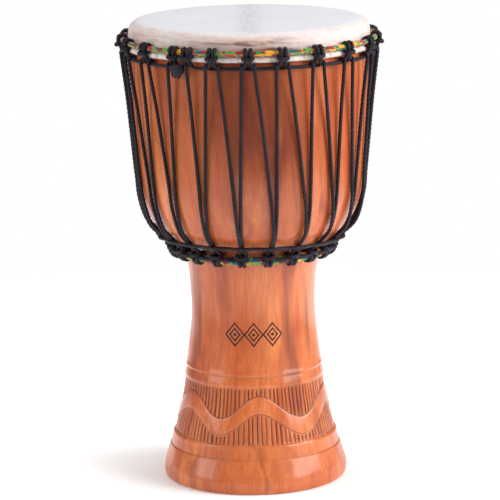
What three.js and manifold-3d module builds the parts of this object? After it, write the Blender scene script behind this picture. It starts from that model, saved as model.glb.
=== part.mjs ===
// Djembe: a goblet-shaped hand drum carved from one log, with a goatskin head that steel rings and
// cord pull tight. Millimetres, +Z up. The origin is the centre of the foot on the floor, and the
// front, where the ornament is burnt into the stem, faces -Y. Azimuths are in degrees, 0 at the front
// and growing towards +X.
import * as THREE from 'three';
import { mergeVertices } from 'three/addons/utils/BufferGeometryUtils.js';
import Module from 'manifold-3d';

const wasm = await Module();
wasm.setup();

// Whole drum
const HEIGHT = 600;
const SKIN = 1.2; // thickness of the goatskin
const GAP = 0.3; // clearance kept between pieces that touch
const SEGMENTS = 42; // flats round each turned piece
const CORD_FLATS = 63; // flats round each ring of cord

// Shell
const FOOT_RADIUS = 112;
const BORE_FOOT_RADIUS = 97;
const THROAT_RADIUS = 58;
const SHELL_RADIUS = 153.4; // outside of the bowl where the skin covers it

// Rings
const COLLAR_RADIUS = SHELL_RADIUS + GAP + SKIN; // outside of the skin on the bowl
const FLESH_RING = { r: 157.4, z: 568.2, rod: 2.2, fold: 3.7 };
const CROWN_RING = { r: 161.4, z: 576.6, rod: 2.2, cloth: 3.5 };
const BOTTOM_RING = { r: 99.5, z: 303.2, rod: 3.5, cloth: 5.6 };
const SLEEVE_SEAM = 9; // half the angle left open where the cloth sleeve's edges meet
const FOLD_END = 120; // how far round the flesh ring the skin is tucked
const WRAP_FLATS = 6; // flats round each hoop and what is wrapped round it

// Ropes
const LOOPS = 21;
const PITCH = 360 / LOOPS;
const FIRST_KNOT = -1.2; // azimuth of the knot nearest the front, before its shift
// How far the drum maker's hand set each crown knot from its even place, in degrees.
const KNOT_SHIFTS = [
  0.5, -1.5, -1.7, -1.3, 0, 0.7, 1.2, 0.4, -0.8, -1.1, 0.2, 0.9, -0.3, -1.0, 0.6, 1.3, 0.1, -0.9, -0.4,
  2.1, 1.8,
];
const CORD = 2.2; // radius
const HOOK_SLACK = 0.3; // clearance of the lacing where it bends over the crown cord
const CORD_SIDES = 5;
const CROWN_CORD = { r: 160.3, z: 557.9 };
const BOTTOM_CORD = { r: 105.6, z: 309.2 };
const WEAVE_ROW = { r: 120, z: 319.4 };
const HITCH_WIDTH = 14; // two turns of cord side by side, and their spread
const HITCH_BORE = 0.9; // clearance between a hitch and the cloth in it
const CROWN_HITCH = { thick: 3.8, thin: 0.9 }; // at its front, and where the skin squeezes it
const BOTTOM_HITCH = { thick: 4.0, thin: 3.2 };
const LEG_SPREAD = 2.85; // azimuth from a crown knot to the legs beside it
const TIE_OFF = LOOPS - 2; // the knot where both cord ends are made fast
const TIE_OFF_SPREAD = 5.15;
const TIE_OFF_HITCH = 2.3;
const JUNCTION_SHIFT = 3.8; // how far the legs lean round the drum
const JUNCTION_SWAY = 1.6;
const JUNCTION_WAVES = 3;
const LEG_PAIR = 1.2; // azimuth from a junction to each of its two legs
const TURN_WIDTH = 1.15; // azimuth from a junction to each side of the cord's turn under it

const COLOURS = {
  wood: { color: 0xc4784a, roughness: 0.5, metalness: 0 },
  skin: { color: 0xe6e0d8, roughness: 0.7, metalness: 0 },
  steel: { color: 0x8a8c90, roughness: 0.4, metalness: 1 },
  cloth: { color: 0xa8503c, roughness: 0.9, metalness: 0 },
  rope: { color: 0x26222b, roughness: 0.8, metalness: 0 },
};

const djembe = new THREE.Group();

function add(name, geometry, finish) {
  const mesh = new THREE.Mesh(geometry, new THREE.MeshStandardMaterial(COLOURS[finish]));
  mesh.name = name;
  djembe.add(mesh);
}

function radians(degrees) {
  return THREE.MathUtils.degToRad(degrees);
}

function polar(azimuth, r, z) {
  const a = radians(azimuth);
  return new THREE.Vector3(r * Math.sin(a), -r * Math.cos(a), z);
}

// Points [r, z] on an arc, counted anticlockwise from the outward direction.
function arc(centre, radius, from, to, steps) {
  return Array.from({ length: steps + 1 }, (_, i) => {
    const angle = radians(from + ((to - from) * i) / steps);
    return [centre.r + radius * Math.cos(angle), centre.z + radius * Math.sin(angle)];
  });
}

// Points on a smooth curve through the stations [r, z].
function smooth(stations, steps) {
  const curve = new THREE.SplineCurve(stations.map(([r, z]) => new THREE.Vector2(r, z)));
  return curve.getSpacedPoints(steps).map((point) => [point.x, point.y]);
}

// Turns a profile of [r, z] points about the upright axis.
function turned(profile, segments = SEGMENTS) {
  const points = profile.map(([r, z]) => new THREE.Vector2(r, z));
  return new THREE.LatheGeometry(points, segments).rotateX(Math.PI / 2);
}

function closed(profile) {
  return [...profile, profile[0]];
}

function toManifold(geometry) {
  const bare = geometry.clone();
  bare.deleteAttribute('normal');
  bare.deleteAttribute('uv');
  const merged = mergeVertices(bare, 1e-4);
  const vertProperties = new Float32Array(merged.attributes.position.array);
  const triVerts = new Uint32Array(merged.index.array);
  return new wasm.Manifold(new wasm.Mesh({ numProp: 3, vertProperties, triVerts }));
}

function joined(geometries) {
  const solid = geometries.map(toManifold).reduce((sum, next) => sum.add(next));
  const { vertProperties, triVerts } = solid.getMesh();
  const geometry = new THREE.BufferGeometry();
  geometry.setAttribute('position', new THREE.BufferAttribute(vertProperties, 3));
  geometry.setIndex(new THREE.BufferAttribute(triVerts, 1));
  geometry.computeVertexNormals();
  return geometry;
}

// A smooth curve with one step of the cord at each of its stations.
class StationCurve extends THREE.CatmullRomCurve3 {
  getUtoTmapping(u) {
    return u;
  }
}

function cord(stations, radius) {
  const section = new THREE.Shape();
  for (let i = 0; i < CORD_SIDES; i += 1) {
    const angle = (2 * Math.PI * i) / CORD_SIDES;
    const [x, y] = [radius * Math.cos(angle), radius * Math.sin(angle)];
    if (i === 0) section.moveTo(x, y);
    else section.lineTo(x, y);
  }
  section.closePath();
  const extrudePath = new StationCurve(stations);
  return new THREE.ExtrudeGeometry(section, { steps: stations.length - 1, extrudePath });
}

function cordRing({ r, z }, radius) {
  const lastFlat = 360 - 360 / CORD_SIDES;
  return turned(closed(arc({ r, z }, radius, 0, lastFlat, CORD_SIDES - 1)), CORD_FLATS);
}

// The wooden shell: foot, carved stem, bowl, bearing edge, then the hollow inside down to the foot.
function shellProfile() {
  const foot = [[FOOT_RADIUS, 0], [117.3, 3.2], [119.2, 10]];
  const footSide = [[117.6, 20], [110.8, 43.6], [109.8, 44.6], [105.6, 61.5]];
  const hatchedField = [[104.2, 65.6], [95.9, 100], [89.8, 134.8]];
  const ridge = [[90.6, 136], [88.2, 147], [88.7, 151]];
  const stem = smooth([[84.3, 180], [80.5, 215], [80.6, 250], [84, 280], [88.4, 299]], 5);
  const neck = [[90.2, 309.5], [94.8, 313.8], [101.5, 316], [108, 319], [113.8, 324]];
  const bowl = smooth(
    [[119.5, 330.2], [128, 341.5], [137, 360], [145, 400], [148.7, 450], [151, 500], [153, 555]],
    9,
  );
  const bearingEdge = [[SHELL_RADIUS, 585], [151.5, 591.4], [147.8, 595.4], [142, 597.6], [136.6, 596]];
  const hollow = [[137.4, 500], [134.5, 420], [124.5, 362], [101, 327]];
  const throat = [[66, 303], [THROAT_RADIUS, 288], [THROAT_RADIUS, 230], [71, 120]];
  return [
    ...foot, ...footSide, ...hatchedField, ...ridge, ...stem, ...neck, ...bowl, ...bearingEdge,
    ...hollow, ...throat, [BORE_FOOT_RADIUS, 0],
  ];
}

// The goatskin: the side against the wood first, round the flesh ring, then back over the outside.
function skinProfile() {
  const inside = SHELL_RADIUS + GAP;
  const outside = COLLAR_RADIUS;
  const top = HEIGHT - SKIN;
  const underside = [[0, top], [133, top], [142, top - 0.8], [148.3, 595.7], [151.8, 591.7]];
  const fold = arc(FLESH_RING, FLESH_RING.fold, 180, 360 + FOLD_END, WRAP_FLATS);
  const tuck = arc(FLESH_RING, FLESH_RING.rod + GAP, 360 + FOLD_END, 180, WRAP_FLATS);
  const over = [[outside, 586], [153, 592.2], [149, 596.8], [142.6, 599.2], [133, HEIGHT], [0, HEIGHT]];
  return [...underside, [inside, 585.5], ...fold, ...tuck, ...over];
}

// A steel hoop, with its flats facing the flats of whatever is wrapped round it.
function hoopProfile({ r, z, rod }, from, to) {
  return closed(arc({ r, z }, rod, from, to, WRAP_FLATS));
}

// A cloth sleeve round a hoop, open along a narrow seam on the side that faces the drum.
function sleeveProfile({ r, z, rod, cloth }) {
  const outer = arc({ r, z }, cloth, SLEEVE_SEAM - 180, 180 - SLEEVE_SEAM, WRAP_FLATS);
  const inner = arc({ r, z }, rod + GAP, 180 - SLEEVE_SEAM, SLEEVE_SEAM - 180, WRAP_FLATS);
  return closed([...outer, ...inner]);
}

function knotAzimuth(index) {
  return FIRST_KNOT + index * PITCH + KNOT_SHIFTS[index % LOOPS];
}

function legSpread(index) {
  return index % LOOPS === TIE_OFF ? TIE_OFF_SPREAD : LEG_SPREAD;
}

function junctionAzimuth(index) {
  const sway = Math.sin((2 * Math.PI * JUNCTION_WAVES * index) / LOOPS + 0.5);
  return FIRST_KNOT + (index + 0.5) * PITCH + JUNCTION_SHIFT + JUNCTION_SWAY * sway;
}

// Two turns of cord side by side round a ring, as one band. The thickness goes from thick at the
// front to thin where the cord is squeezed behind the ring.
function hitchBand(ring, azimuth, { thick, thin }) {
  const bore = ring.cloth + HITCH_BORE;
  const outline = new THREE.Shape();
  const steps = 8;
  for (let i = 0; i < steps; i += 1) {
    const angle = (2 * Math.PI * i) / steps;
    const share = 0.5 + 0.5 * Math.cos(angle - Math.PI / 4);
    const reach = bore + thin + (thick - thin) * share;
    const [x, y] = [reach * Math.cos(angle), reach * Math.sin(angle)];
    if (i === 0) outline.moveTo(x, y);
    else outline.lineTo(x, y);
  }
  outline.closePath();
  const hole = new THREE.Path();
  hole.absarc(0, 0, bore, 0, 2 * Math.PI, true);
  outline.holes.push(hole);
  const settings = { depth: HITCH_WIDTH, bevelEnabled: false, curveSegments: 4 };
  const band = new THREE.ExtrudeGeometry(outline, settings).translate(0, 0, -HITCH_WIDTH / 2);
  const outward = polar(azimuth, 1, 0);
  const up = new THREE.Vector3(0, 0, 1);
  const place = new THREE.Matrix4().makeBasis(outward, up, outward.clone().cross(up));
  place.setPosition(polar(azimuth, ring.r, ring.z));
  return band.applyMatrix4(place);
}

// The cord that leaves the front of one crown hitch, runs level under the flesh ring and rises to
// the next hitch.
function crownScallop(from, to) {
  const rise = [[0.8, 167.4, 573.5], [1.05, 165.2, 564.8], [1.4, CROWN_CORD.r, CROWN_CORD.z + 0.3]];
  const level = [2.85, CROWN_CORD.r, CROWN_CORD.z];
  const leaving = [...rise, level].map(([turn, r, z]) => polar(from + turn, r, z));
  const arriving = [level, ...rise.reverse()].map(([turn, r, z]) => polar(to - turn, r, z));
  const middle = polar((from + to) / 2, CROWN_CORD.r, CROWN_CORD.z);
  return cord([...leaving, ...(to - from > PITCH / 2 ? [middle] : []), ...arriving], CORD);
}

function crownHitchAzimuths() {
  const knots = Array.from({ length: LOOPS }, (_, index) => index);
  return knots.flatMap((index) => {
    const middle = knotAzimuth(index);
    return index === TIE_OFF ? [middle - TIE_OFF_HITCH, middle + TIE_OFF_HITCH] : [middle];
  });
}

function crownCradle() {
  const azimuths = crownHitchAzimuths();
  const hitches = azimuths.map((azimuth) => hitchBand(CROWN_RING, azimuth, CROWN_HITCH));
  const following = [...azimuths.slice(1), azimuths[0] + 360];
  const scallops = azimuths.map((azimuth, index) => crownScallop(azimuth, following[index]));
  return joined([...hitches, ...scallops]);
}

function bottomCradle() {
  const hitches = Array.from({ length: LOOPS }, (_, index) =>
    hitchBand(BOTTOM_RING, junctionAzimuth(index) - 1, BOTTOM_HITCH),
  );
  return joined([cordRing(BOTTOM_CORD, CORD), ...hitches]);
}

// One leg of the lacing, from beside a crown knot down the bowl to its junction.
function legStations(topAzimuth, bottomAzimuth) {
  const stations = [[157.7, 500], [148.4, 404], [143.4, 370], [132.6, 340.5]];
  const end = [115.7, 322.2];
  return [...stations, end].map(([r, z]) => {
    const share = (CROWN_CORD.z - z) / (CROWN_CORD.z - end[1]);
    return polar(THREE.MathUtils.lerp(topAzimuth, bottomAzimuth, share), r, z);
  });
}

// The cord over the crown cord beside a knot: up the outside, over the top and down the inside.
function hookStations(azimuth) {
  const reach = 2 * CORD + HOOK_SLACK;
  return arc(CROWN_CORD, reach, 0, 180, 4).map(([r, z]) => polar(azimuth, r, z));
}

// The lacing's one long cord, from the knot where both ends are made fast round to that knot again.
function lacing() {
  const stations = [];
  for (let step = 0; step < LOOPS; step += 1) {
    const index = TIE_OFF + step;
    const left = knotAzimuth(index) + legSpread(index);
    const right = knotAzimuth(index + 1) - legSpread(index + 1);
    const junction = junctionAzimuth(index);
    stations.push(...hookStations(left).reverse());
    stations.push(...legStations(left, junction - LEG_PAIR));
    stations.push(
      polar(junction - TURN_WIDTH, 110.2, 317),
      polar(junction, 107.8, 315.6),
      polar(junction + TURN_WIDTH, 110.2, 317),
    );
    stations.push(...legStations(right, junction + LEG_PAIR).reverse());
    stations.push(...hookStations(right));
  }
  return cord(stations, CORD);
}

// The knot where both ends of the lacing are made fast, between the legs under the crown cord.
function tieOffKnot() {
  const knot = new THREE.SphereGeometry(1, 10, 7).scale(10.4, 4, 9.5);
  const azimuth = knotAzimuth(TIE_OFF);
  const { x, y, z } = polar(azimuth, 167.3, 552.8);
  return knot.rotateZ(radians(azimuth)).translate(x, y, z);
}

add('shell', turned(closed(shellProfile())), 'wood');
add('drumhead', turned(skinProfile()), 'skin');
add('flesh_ring', turned(hoopProfile(FLESH_RING, 180, 360 + FOLD_END)), 'steel');
add('crown_ring', turned(hoopProfile(CROWN_RING, SLEEVE_SEAM - 180, 180 - SLEEVE_SEAM)), 'steel');
add('crown_ring_wrap', turned(sleeveProfile(CROWN_RING)), 'cloth');
add('bottom_ring', turned(hoopProfile(BOTTOM_RING, SLEEVE_SEAM - 180, 180 - SLEEVE_SEAM)), 'steel');
add('bottom_ring_wrap', turned(sleeveProfile(BOTTOM_RING)), 'cloth');
add('crown_cradle_rope', crownCradle(), 'rope');
add('bottom_cradle_rope', bottomCradle(), 'rope');
add('lacing_rope', lacing(), 'rope');
add('weave_rope', cordRing(WEAVE_ROW, CORD), 'rope');
add('tie_off_knot', tieOffKnot(), 'rope');

export default djembe;
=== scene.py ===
"""A rope-tuned djembe: the looks of every piece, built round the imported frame.

Sizes in the classes are millimetres of a 600 mm drum, and MM turns them into metres of the drum in
the frame. Azimuths are degrees, 0 at the front (-Y) and growing towards +X. Every surface is a grid
of rows and columns, worked out as whole arrays.
"""
import logging
import math
from collections.abc import Callable
from dataclasses import dataclass, field
from enum import Enum

import bpy
import numpy as np
from mathutils import Euler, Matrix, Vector


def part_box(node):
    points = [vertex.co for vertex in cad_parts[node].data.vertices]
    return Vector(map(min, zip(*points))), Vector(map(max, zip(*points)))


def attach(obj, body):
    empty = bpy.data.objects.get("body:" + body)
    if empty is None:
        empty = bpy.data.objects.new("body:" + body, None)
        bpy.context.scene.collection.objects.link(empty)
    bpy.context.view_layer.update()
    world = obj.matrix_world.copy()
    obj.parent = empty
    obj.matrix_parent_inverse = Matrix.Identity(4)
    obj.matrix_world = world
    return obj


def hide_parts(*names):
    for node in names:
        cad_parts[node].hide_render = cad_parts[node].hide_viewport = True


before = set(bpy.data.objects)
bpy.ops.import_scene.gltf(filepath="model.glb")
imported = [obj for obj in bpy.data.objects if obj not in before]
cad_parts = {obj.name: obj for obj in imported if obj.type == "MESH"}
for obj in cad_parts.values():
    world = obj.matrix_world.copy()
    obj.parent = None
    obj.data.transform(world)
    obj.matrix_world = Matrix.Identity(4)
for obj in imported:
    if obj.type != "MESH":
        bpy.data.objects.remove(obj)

Array = np.ndarray
Stations = tuple[tuple[float, ...], ...]
Socket = bpy.types.NodeSocket
Colour = tuple[float, float, float, float]
Triple = tuple[float, float, float]
log = logging.getLogger("djembe")

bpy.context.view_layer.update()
HEIGHT_MM = 600.0
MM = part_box("drumhead")[1].z / HEIGHT_MM
BODY = "root"
SEED = 26
WAVE_COUNT = 12  # sine waves in a random field
WAVE_SCALE = 5.0  # about two standard deviations of their sum
UV_PER_MM = 0.001


class Slot(Enum):
    """The record's material slots."""

    WOOD = "carved_wood"
    SKIN = "goatskin"
    STEEL = "ring_steel"
    CLOTH = "printed_cloth"
    ROPE = "black_rope"


# ---------------------------------------------------------------------------------------------
# Surfaces


def polar(azimuth: Array, radius: Array, height: Array) -> Array:
    """Points on circles about the drum's axis: x = r sin a, y = -r cos a.

    Args:
        azimuth: Degrees from the front.
        radius: Millimetres from the axis.
        height: Millimetres above the floor.

    Returns:
        Points in millimetres, with a last axis of three.
    """
    a = np.radians(azimuth)
    return np.stack(np.broadcast_arrays(radius * np.sin(a), -radius * np.cos(a), height), axis=-1)


def smoothstep(low: float, high: float, value: Array) -> Array:
    """0 below low, 1 above high, and the cubic 3t^2 - 2t^3 between them.

    Args:
        low: Where it leaves 0. It may be above high, and then the step falls.
        high: Where it reaches 1.
        value: Where to work it out.

    Returns:
        Values of 0 to 1.
    """
    t = np.clip((value - low) / (high - low), 0.0, 1.0)
    return t * t * (3.0 - 2.0 * t)


def waves(seed: int, azimuth: Array, height: Array, counts: tuple[int, int], reach: float) -> Array:
    """A smooth random field on the drum's side, made of twelve crossed sine waves.

    Args:
        seed: Which field.
        azimuth: Degrees.
        height: Millimetres.
        counts: The fewest and most waves round the drum.
        reach: The shortest wave along the height, in millimetres.

    Returns:
        Values of about -1 to 1.
    """
    draw = np.random.default_rng(seed)
    total = np.zeros(np.broadcast(azimuth, height).shape)
    for _ in range(WAVE_COUNT):
        round_it = draw.integers(counts[0], counts[1] + 1)
        along = draw.uniform(-1.0, 1.0) * 2 * np.pi / reach
        total += np.sin(np.radians(azimuth) * round_it + height * along + draw.uniform(0, 2 * np.pi))
    return total / WAVE_SCALE


def catmull(stations: Array, per_span: int) -> Array:
    """A smooth curve through stations, by cubic Hermite spans whose slopes are the stations' own.

    Args:
        stations: (n, k) points the curve goes through, spaced unevenly.
        per_span: Points worked out on each span.

    Returns:
        Points along the curve, both ends included.
    """
    steps = np.linalg.norm(np.diff(stations, axis=0), axis=1) ** 0.5
    at = np.concatenate([[0.0], np.cumsum(steps)])
    chords = np.diff(stations, axis=0) / steps[:, None]
    inner = (chords[:-1] * steps[1:, None] + chords[1:] * steps[:-1, None]) / (
        steps[1:, None] + steps[:-1, None]
    )
    slopes = np.concatenate([chords[:1], inner, chords[-1:]])
    t = np.linspace(0.0, 1.0, per_span, endpoint=False)[None, :, None]
    start, end, width = stations[:-1, None], stations[1:, None], np.diff(at)[:, None, None]
    curve = (
        (2 * t**3 - 3 * t**2 + 1) * start
        + (t**3 - 2 * t**2 + t) * width * slopes[:-1, None]
        + (3 * t**2 - 2 * t**3) * end
        + (t**3 - t**2) * width * slopes[1:, None]
    )
    return np.concatenate([curve.reshape(-1, stations.shape[1]), stations[-1:]])


def evenly(points: Array, step: float) -> Array:
    """The same line with points evenly spaced along it, measured on its first three axes.

    Args:
        points: (n, k) points of a line, in millimetres.
        step: About how far apart the new points are.

    Returns:
        The new points, both ends included.
    """
    lengths = np.linalg.norm(np.diff(points[:, :3], axis=0), axis=1)
    along = np.concatenate([[0.0], np.cumsum(lengths)])
    at = np.linspace(0.0, along[-1], max(2, round(along[-1] / step)) + 1)
    return np.stack([np.interp(at, along, points[:, k]) for k in range(points.shape[1])], axis=1)


@dataclass
class Surface:
    """A closed surface being put together from blocks of vertices and faces."""

    name: str
    vertices: list[Array] = field(default_factory=list)
    faces: list[Array] = field(default_factory=list)
    uvs: list[Array] = field(default_factory=list)
    fields: dict[str, list[Array]] = field(default_factory=dict)
    count: int = 0

    def add_grid(self, points: Array, fields: dict[str, Array] | None = None) -> Array:
        """Adds a grid of vertices.

        Args:
            points: (rows, columns, 3) points in millimetres.
            fields: Values for each vertex, by attribute name.

        Returns:
            The vertices' numbers, as (rows, columns).
        """
        rows, columns = points.shape[:2]
        numbers = self.count + np.arange(rows * columns).reshape(rows, columns)
        self.vertices.append(points.reshape(-1, 3))
        self.count += rows * columns
        for key, values in (fields or {}).items():
            self.fields.setdefault(key, []).append(np.broadcast_to(values, (rows, columns)).ravel())
        return numbers

    def add_quads(self, numbers: Array, along: Array, closed: bool = False) -> None:
        """Joins a grid's rows with four-sided faces. The columns always close round.

        Args:
            numbers: (rows, columns) vertex numbers.
            along: The v coordinate of each row, and of the first row again if closed.
            closed: Whether the last row joins the first.
        """
        rows, columns = numbers.shape
        last = rows if closed else rows - 1
        i, j = np.meshgrid(np.arange(last), np.arange(columns), indexing="ij")
        corners = ((i, j), (i, j + 1), (i + 1, j + 1), (i + 1, j))
        self.faces.append(np.stack([numbers[a % rows, b % columns] for a, b in corners], -1).reshape(-1, 4))
        uv = [np.stack([b / columns, along[a]], axis=-1) for a, b in corners]
        self.uvs.append(np.stack(uv, axis=-2).reshape(-1, 2))

    def add_pole(self, ring: Array, point: Array, v: float, first: bool) -> None:
        """Closes a ring of vertices with triangles to one point.

        Args:
            ring: The ring's vertex numbers.
            point: The pole, in millimetres.
            v: The v coordinate there.
            first: Whether the pole comes before the ring's row.
        """
        values = {key: np.array([[stack[-1][-1]]]) for key, stack in self.fields.items()}
        pole = self.add_grid(np.asarray(point, float).reshape(1, 1, 3), values)[0, 0]
        size = len(ring)
        j = np.arange(size)
        following = ring[(j + 1) % size]
        order = (following, ring) if first else (ring, following)
        self.faces.append(np.stack([*order, np.full(size, pole)], axis=-1))
        uv = [np.tile((j / size)[:, None], (1, 3)), np.full((size, 3), v)]
        self.uvs.append(np.stack(uv, -1).reshape(-1, 2))

    def add_step(self, coarse: Array, fine: Array, v: float, coarse_first: bool) -> None:
        """Joins a ring to one with a whole number of times as many vertices.

        Args:
            coarse: The ring with fewer vertices.
            fine: The ring with more.
            v: The v coordinate of the strip.
            coarse_first: Whether the coarse ring comes first in the order of rows.
        """
        ratio = len(fine) // len(coarse)
        j = np.arange(len(coarse))
        outer = np.stack([coarse[j], coarse[(j + 1) % len(coarse)]], axis=-1)
        inner = fine[(j[:, None] * ratio + np.arange(ratio, -1, -1)) % len(fine)]
        polygons = np.concatenate([outer, inner], axis=-1)
        self.faces.append(polygons if coarse_first else polygons[:, ::-1])
        self.uvs.append(np.full((polygons.size, 2), v))

    def build(self, slot: Slot, material: bpy.types.Material, stands_for: str) -> bpy.types.Object:
        """Makes the Blender object, turned so that its faces point outwards.

        Args:
            slot: Not used.
            material: The finish.
            stands_for: The CAD node it replaces.

        Returns:
            The object, at the origin.
        """
        points = np.concatenate(self.vertices) * MM
        total = sum(self._volume(points, block) for block in self.faces)
        faces, corners = [], []
        for block, uv in zip(self.faces, self.uvs):
            pairs = uv.reshape(block.shape[0], block.shape[1], 2)
            faces += (block if total > 0 else block[:, ::-1]).tolist()
            corners.append((pairs if total > 0 else pairs[:, ::-1]).reshape(-1, 2))
        mesh = bpy.data.meshes.new(self.name)
        mesh.from_pydata(points, [], faces)
        layer = mesh.uv_layers.new(name="UVMap")
        layer.data.foreach_set("uv", np.concatenate(corners).astype(np.float32).ravel())
        for key, stack in self.fields.items():
            attribute = mesh.attributes.new(key, "FLOAT", "POINT")
            attribute.data.foreach_set("value", np.concatenate(stack).astype(np.float32))
        mesh.polygons.foreach_set("use_smooth", np.ones(len(mesh.polygons), bool))
        mesh.validate()
        mesh.update()
        piece = bpy.data.objects.new(self.name, mesh)
        bpy.context.scene.collection.objects.link(piece)
        mesh.materials.append(material)
        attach(piece, BODY)
        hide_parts(stands_for)
        log.info("%s: %d faces", self.name, len(mesh.polygons))
        return piece

    @staticmethod
    def _volume(points: Array, block: Array) -> float:
        """Six times the signed volume between the origin and a block of faces.

        Args:
            points: (n, 3) vertices.
            block: (faces, corners) vertex numbers.

        Returns:
            The sum, over each face's fan of triangles, of a . (b x c).
        """
        first = points[block[:, 0]]
        fans = [
            np.einsum("ij,ij->", first, np.cross(points[block[:, k]], points[block[:, k + 1]]))
            for k in range(1, block.shape[1] - 1)
        ]
        return float(sum(fans))


# ---------------------------------------------------------------------------------------------
# Finishes


def srgb(red: float, green: float, blue: float) -> Colour:
    """A screen colour in the linear values that Blender takes.

    Args:
        red: 0 to 255.
        green: 0 to 255.
        blue: 0 to 255.

    Returns:
        Linear red, green and blue, and an alpha of 1.
    """
    part = [c / 255 for c in (red, green, blue)]
    return (*[c / 12.92 if c <= 0.04045 else ((c + 0.055) / 1.055) ** 2.4 for c in part], 1.0)


class Graph:
    """A material's nodes, with short calls for what the finishes share."""

    MIX_INPUTS = (0, 6, 7)  # a Mix node's sockets for the factor and two colours
    MIX_OUTPUT = 2

    def __init__(self, name: str, roughness: float, specular: float = 0.5) -> None:
        """Starts a material with a Principled shader.

        Args:
            name: The material's name.
            roughness: Its roughness, until finish gives it another.
            specular: Its Specular IOR Level.
        """
        self.material = bpy.data.materials.new(name)
        self.material.use_nodes = True
        self.tree = self.material.node_tree
        self.shader = self.tree.nodes["Principled BSDF"]
        self.shader.inputs["Roughness"].default_value = roughness
        self.shader.inputs["Specular IOR Level"].default_value = specular
        self.place = self.tree.nodes.new("ShaderNodeTexCoord").outputs["Object"]

    def put(self, socket: Socket, value: object) -> None:
        """Links a socket to an output, or sets its value.

        Args:
            socket: An input.
            value: Another node's output, or a number, colour or vector.
        """
        if isinstance(value, Socket):
            self.tree.links.new(value, socket)
        else:
            socket.default_value = value

    def attribute(self, name: str) -> Socket:
        """A vertex attribute's value.

        Args:
            name: The attribute.

        Returns:
            Its value as a number.
        """
        node = self.tree.nodes.new("ShaderNodeAttribute")
        node.attribute_name = name
        return node.outputs["Fac"]

    def uv(self) -> Socket:
        """The piece's own UV map.

        Returns:
            The UV vector.
        """
        node = self.tree.nodes.new("ShaderNodeUVMap")
        node.uv_map = "UVMap"
        return node.outputs["UV"]

    def mapped(self, vector: Socket, scale: Triple, move: Triple = (0, 0, 0)) -> Socket:
        """A vector scaled and moved.

        Args:
            vector: The vector.
            scale: What each axis is multiplied by.
            move: What is then added to it.

        Returns:
            The new vector.
        """
        node = self.tree.nodes.new("ShaderNodeMapping")
        self.put(node.inputs["Vector"], vector)
        node.inputs["Scale"].default_value = scale
        node.inputs["Location"].default_value = move
        return node.outputs["Vector"]

    def noise(
        self, vector: Socket, scale: float, detail: float = 3, rough: float = 0.5, bend: float = 0
    ) -> Socket:
        """Fractal noise.

        Args:
            vector: Where to read it.
            scale: Its waves in a metre.
            detail: How many finer layers it has.
            rough: How strong the finer layers are.
            bend: How far it is distorted.

        Returns:
            Values of 0 to 1.
        """
        node = self.tree.nodes.new("ShaderNodeTexNoise")
        self.put(node.inputs["Vector"], vector)
        for name, value in (("Scale", scale), ("Detail", detail), ("Roughness", rough), ("Distortion", bend)):
            node.inputs[name].default_value = value
        return node.outputs["Fac"]

    def ramp(self, factor: Socket, *stops: tuple, steps: bool = False) -> Socket:
        """A colour ramp.

        Args:
            factor: Where on the ramp to read.
            stops: Each is (place, colour), and a number is taken as a grey.
            steps: Whether each colour stays even up to the next stop.

        Returns:
            The colour there.
        """
        node = self.tree.nodes.new("ShaderNodeValToRGB")
        self.put(node.inputs["Fac"], factor)
        elements = node.color_ramp.elements
        while len(elements) < len(stops):
            elements.new(0.5)
        for element, (place, colour) in zip(elements, stops):
            element.position = place
            element.color = colour if isinstance(colour, tuple) else (colour, colour, colour, 1)
        if steps:
            node.color_ramp.interpolation = "CONSTANT"
        return node.outputs["Color"]

    def mix(self, factor: Socket, first: object, second: object) -> Socket:
        """Two colours mixed.

        Args:
            factor: The second colour's share.
            first: A colour or an output.
            second: A colour or an output.

        Returns:
            The mixed colour.
        """
        node = self.tree.nodes.new("ShaderNodeMix")
        node.data_type = "RGBA"
        for place, value in zip(self.MIX_INPUTS, (factor, first, second)):
            self.put(node.inputs[place], value)
        return node.outputs[self.MIX_OUTPUT]

    def math(self, operation: str, *values: object) -> Socket:
        """A Math node.

        Args:
            operation: Blender's name for the sum.
            values: One to three numbers or outputs.

        Returns:
            The result.
        """
        node = self.tree.nodes.new("ShaderNodeMath")
        node.operation = operation
        for socket, value in zip(node.inputs, values):
            self.put(socket, value)
        return node.outputs[0]

    def split(self, vector: Socket) -> list[Socket]:
        """A vector's three parts.

        Args:
            vector: The vector.

        Returns:
            Its x, y and z.
        """
        node = self.tree.nodes.new("ShaderNodeSeparateXYZ")
        self.put(node.inputs[0], vector)
        return list(node.outputs)

    def bump(
        self, height: Socket, strength: float, distance_mm: float, under: Socket | None = None
    ) -> Socket:
        """A bumped normal.

        Args:
            height: The relief, 0 to 1.
            strength: How much of it shows, negative for a dent.
            distance_mm: How high the relief stands.
            under: A normal that it goes on top of.

        Returns:
            The normal.
        """
        node = self.tree.nodes.new("ShaderNodeBump")
        node.inputs["Strength"].default_value = strength
        node.inputs["Distance"].default_value = distance_mm * MM
        self.put(node.inputs["Height"], height)
        if under is not None:
            self.put(node.inputs["Normal"], under)
        return node.outputs[0]

    def finish(
        self, colour: Socket, normal: Socket | None = None, roughness: Socket | None = None, **sockets: float
    ) -> bpy.types.Material:
        """Puts the colour and the rest on the shader.

        Args:
            colour: The base colour.
            normal: The normal, if it is bumped.
            roughness: The roughness, if it varies.
            sockets: Other sockets' values, with _ for each space in their names.

        Returns:
            The material.
        """
        self.put(self.shader.inputs["Base Color"], colour)
        if normal is not None:
            self.put(self.shader.inputs["Normal"], normal)
        if roughness is not None:
            self.put(self.shader.inputs["Roughness"], roughness)
        for name, value in sockets.items():
            self.shader.inputs[name.replace("_", " ")].default_value = value
        return self.material


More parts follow.
